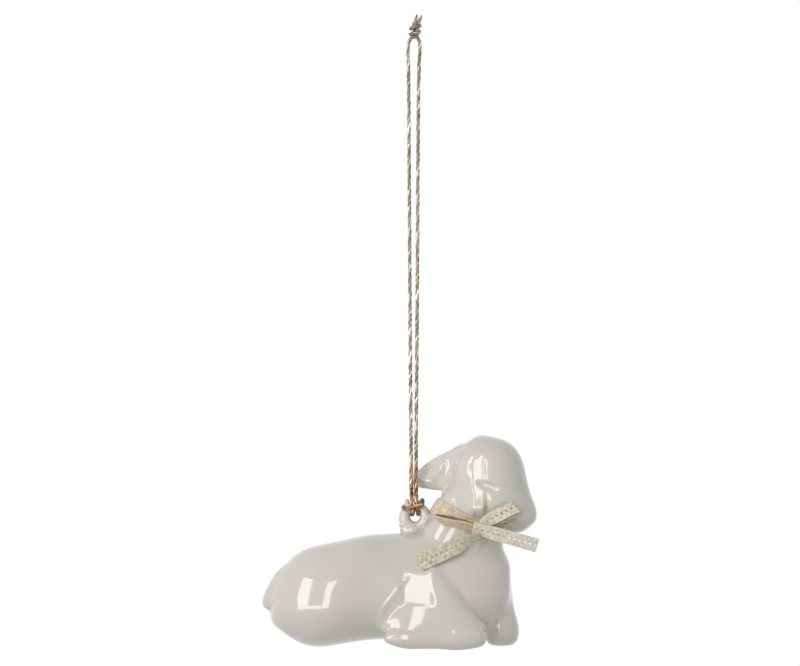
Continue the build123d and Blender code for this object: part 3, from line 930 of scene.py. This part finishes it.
def makeLoop(name, size):
    rise, lean = math.radians(size["rise"]), math.radians(size["lean"])
    along = np.array((math.cos(rise) * math.cos(lean), -math.sin(lean), math.sin(rise) * math.cos(lean)))
    width, tipWidth, layer = (unit(np.array(size[key])) for key in ("width", "tipWidth", "layer"))
    turn = np.linspace(0.06, 2 * np.pi - 0.06, 400)
    out = size["reach"] / 2 * (1 - np.cos(turn))
    side = size["deep"] / 2 * np.sin(turn) * np.abs(np.sin(turn / 2)) ** 0.5
    line = evenly(bowPlace + along * out[:, None] + layer * side[:, None], ribbonMake["step"])
    far = np.clip((line - bowPlace) @ along / size["reach"], 0, 1)
    wide = ribbonMake["width"] * (0.60 + 0.40 * soften(far, 0.0, 0.45))
    across = unit(width + (tipWidth - width) * far[:, None])
    line = liftOff(line, across, wide, 0.3)
    piece = addStrip(name, size["look"], line, across, wide, size["holes"], 0.4)
    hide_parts(size["node"])


# start, bend and end as x, y and height, and how the width tips to the near side at both ends
tailMake = {
    # the front tail takes the paler ribbon colour, which is painted light shining through it
    "ribbonFrontTail": {"node": "ribbon_front_tail", "look": "ribbonPaintedBacklight", "start": (14.5, -11.7, 30.5),
                        "bend": (21.8, -12.6, 28.5), "end": (30.4, -10.9, 26.0),
                        "tip": (52.0, 36.0), "untwist": 0.4},
    "ribbonRearTail": {"node": "ribbon_rear_tail", "look": "ribbonCloth", "start": (16.3, -10.8, 28.6),
                       "bend": (10.0, -12.0, 25.9), "end": (1.0, -11.6, 21.6),
                       "tip": (68.0, 4.0), "untwist": 0.55},
}


def makeTail(name, size):
    start, bend, end = (np.array(size[key]) + (0, 0, groundZ) for key in ("start", "bend", "end"))
    t = np.linspace(0, 1, 200)[:, None]
    line = evenly((1 - t) ** 2 * start + 2 * t * (1 - t) * bend + t ** 2 * end, ribbonMake["step"])
    near = np.array((0.0, -1.0, 0.0))
    up = unit(np.cross(unit(np.gradient(line, axis=0)), near))
    up = up * np.sign(up[:, 2:3])
    far = np.linspace(0, 1, len(line))
    first, last = size["tip"]
    tip = np.radians(first + (last - first) * soften(far, 0.0, size["untwist"]))[:, None]
    across = unit(np.cos(tip) * up + np.sin(tip) * near)
    wide = np.full(len(line), ribbonMake["width"])
    line = liftOff(line, across, wide, 0.35)
    piece = addStrip(name, size["look"], line, across, wide, 1.0, 0.9)
    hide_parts(size["node"])


knotMake = {"tall": 3.0, "deep": 1.5, "width": 2.4, "lean": 8.0}


def makeKnot():
    t = np.linspace(-1.3, 1.3, 160)
    lean = math.radians(knotMake["lean"])
    line = np.stack([np.sin(t) * math.sin(lean) * knotMake["tall"] / 2, 0.2 - np.cos(t) * knotMake["deep"],
                     np.sin(t) * math.cos(lean) * knotMake["tall"] / 2], axis=1) + bowPlace
    line = evenly(line, ribbonMake["step"])
    across = np.repeat(np.array([[math.cos(lean), 0.0, -math.sin(lean)]]), len(line), axis=0)
    wide = np.full(len(line), knotMake["width"])
    piece = addStrip("ribbonKnot", "ribbonWarm", line, across, wide, 0.0, 0.2)
    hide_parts("ribbon_knot")


makeBand()
for name, size in loopMake.items():
    makeLoop(name, size)
for name, size in tailMake.items():
    makeTail(name, size)
makeKnot()
print("ribbon done")


# floor, world and soft boxes

# it fades to white between two distances from its middle, where a faint share is white already
floorMake = {
    "drop": 0.025, "size": 0.38, "colour": (0.82, 0.82, 0.81),
    "plain": 0.06, "white": 0.18, "faint": 0.55,
}


def makeFloor():
    z = cadBounds[0][2] - floorMake["drop"]
    s = floorMake["size"] / 2
    plane = addPiece("floor", [(-s, -s, z), (s, -s, z), (s, s, z), (-s, s, z)], [(0, 1, 2, 3)])
    material, tree, shader = startMaterial("paleFloor")
    shader.inputs["Base Color"].default_value = (*floorMake["colour"], 1)
    shader.inputs["Roughness"].default_value = 0.7
    place = tree.nodes.new("ShaderNodeTexCoord").outputs["Object"]
    flat = tree.nodes.new("ShaderNodeVectorMath")
    flat.operation = "MULTIPLY"
    flat.inputs[1].default_value = (1, 1, 0)
    tree.links.new(place, flat.inputs[0])
    far = tree.nodes.new("ShaderNodeVectorMath")
    far.operation = "LENGTH"
    tree.links.new(flat.outputs[0], far.inputs[0])
    fade = tree.nodes.new("ShaderNodeMapRange")
    fade.interpolation_type = "SMOOTHSTEP"
    fade.inputs["From Min"].default_value = floorMake["plain"]
    fade.inputs["From Max"].default_value = floorMake["white"]
    fade.inputs["To Min"].default_value = floorMake["faint"]
    tree.links.new(far.outputs["Value"], fade.inputs["Value"])
    share = addMath(tree, "MULTIPLY", seenStraight(tree), fade.outputs["Result"])
    white = tree.nodes.new("ShaderNodeEmission")
    mix = tree.nodes.new("ShaderNodeMixShader")
    tree.links.new(share, mix.inputs["Fac"])
    tree.links.new(shader.outputs["BSDF"], mix.inputs[1])
    tree.links.new(white.outputs["Emission"], mix.inputs[2])
    tree.links.new(mix.outputs["Shader"], tree.nodes["Material Output"].inputs["Surface"])
    plane.data.materials.append(material)


skyMake = {"fill": (0.50, 0.50, 0.505)}


def makeWorld():
    world = bpy.data.worlds.new("studio")
    scene.world = world
    world.use_nodes = True
    tree = world.node_tree
    fill = tree.nodes["Background"]
    fill.inputs["Color"].default_value = (*skyMake["fill"], 1)
    white = tree.nodes.new("ShaderNodeBackground")
    white.inputs["Color"].default_value = (1, 1, 1, 1)
    mix = tree.nodes.new("ShaderNodeMixShader")
    tree.links.new(seenStraight(tree), mix.inputs["Fac"])
    tree.links.new(fill.outputs["Background"], mix.inputs[1])
    tree.links.new(white.outputs["Background"], mix.inputs[2])
    tree.links.new(mix.outputs["Shader"], tree.nodes["World Output"].inputs["Surface"])


# degrees left of the camera, degrees up, metres away, width, height, brightness
boxMake = {
    "frontBox": (18.0, 8.0, 1.2, 0.24, 1.40, 3.9),
    "sideBox": (50.0, 8.0, 1.2, 0.32, 1.40, 3.9),
    "joinBox": (34.0, -9.0, 1.2, 0.36, 0.24, 3.9),
}


def makeBoxes():
    target = Vector((0.0, 0.0, -0.13))
    for name, (left, rise, far, wide, tall, bright) in boxMake.items():
        light = bpy.data.lights.new(name, "AREA")
        light.shape = "RECTANGLE"
        light.size = wide
        light.size_y = tall
        light.energy = bright * math.pi * wide * tall
        left, rise = math.radians(left), math.radians(rise)
        lamp = bpy.data.objects.new(name, light)
        level = math.cos(rise)
        way = Vector((-math.sin(left) * level, -math.cos(left) * level, math.sin(rise)))
        lamp.location = target + far * way
        lamp.rotation_euler = (target - lamp.location).to_track_quat("-Z", "Y").to_euler()
        scene.collection.objects.link(lamp)


makeFloor()
makeWorld()
makeBoxes()
print("lights and floor done")
